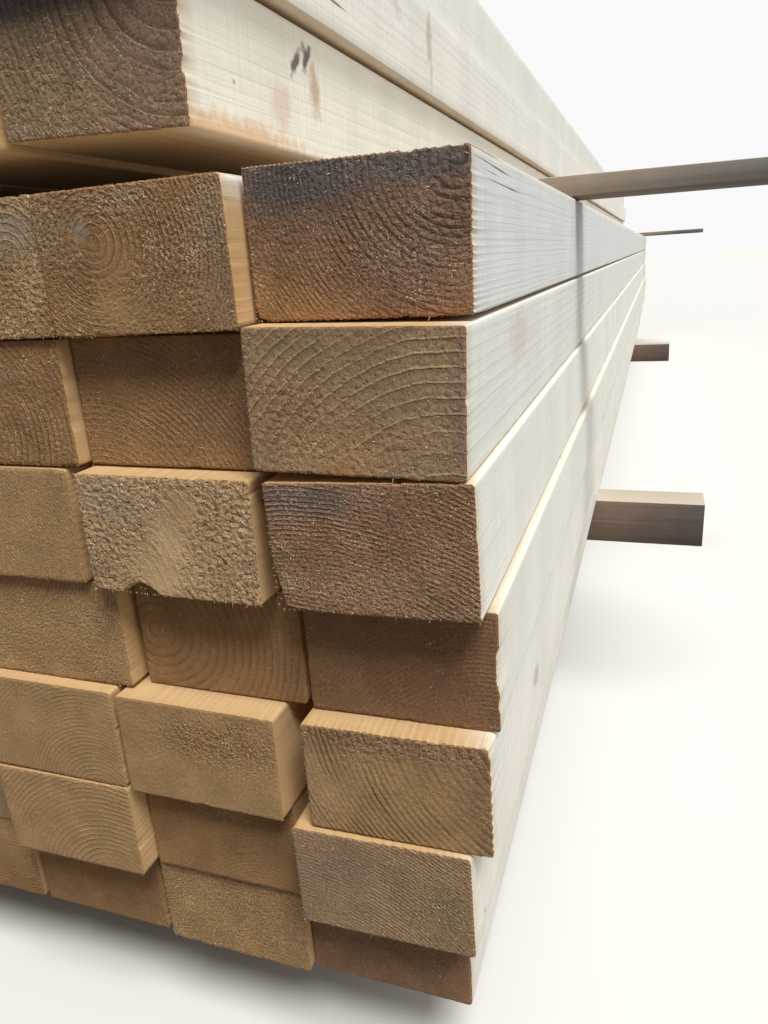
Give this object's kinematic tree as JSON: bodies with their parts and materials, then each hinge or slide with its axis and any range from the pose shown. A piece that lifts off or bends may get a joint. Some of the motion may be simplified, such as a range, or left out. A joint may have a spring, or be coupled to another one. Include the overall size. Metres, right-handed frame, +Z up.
{
  "type": "bundle of pine studs",
  "caption": "Long bundle of planed pine studs in two stacks, with thin laths between them and square bearers underneath.",
  "frame": {"origin": "on the floor under the middle of the bundle's box", "axes": "+Y along the studs, away from the pictured end; +X to the right seen from that end; +Z up"},
  "size_m": [1.4214, 3.0206, 0.5244],
  "materials": {
    "planed_pine": "matte",
    "lath_wood": "matte",
    "bearer_wood": "matte"
  },
  "bodies": {
    "root": {"near_bearer": "bearer_wood", "far_bearer": "bearer_wood", "near_lath": "lath_wood", "far_lath": "lath_wood", "stud_layer_1": "planed_pine", "stud_layer_2": "planed_pine", "stud_layer_3": "planed_pine", "stud_layer_4": "planed_pine", "stud_layer_5": "planed_pine", "stud_layer_6": "planed_pine", "stud_layer_7": "planed_pine", "stud_layer_8": "planed_pine", "stud_layer_9": "planed_pine", "stud_layer_10": "planed_pine"}
  },
  "joints": []
}
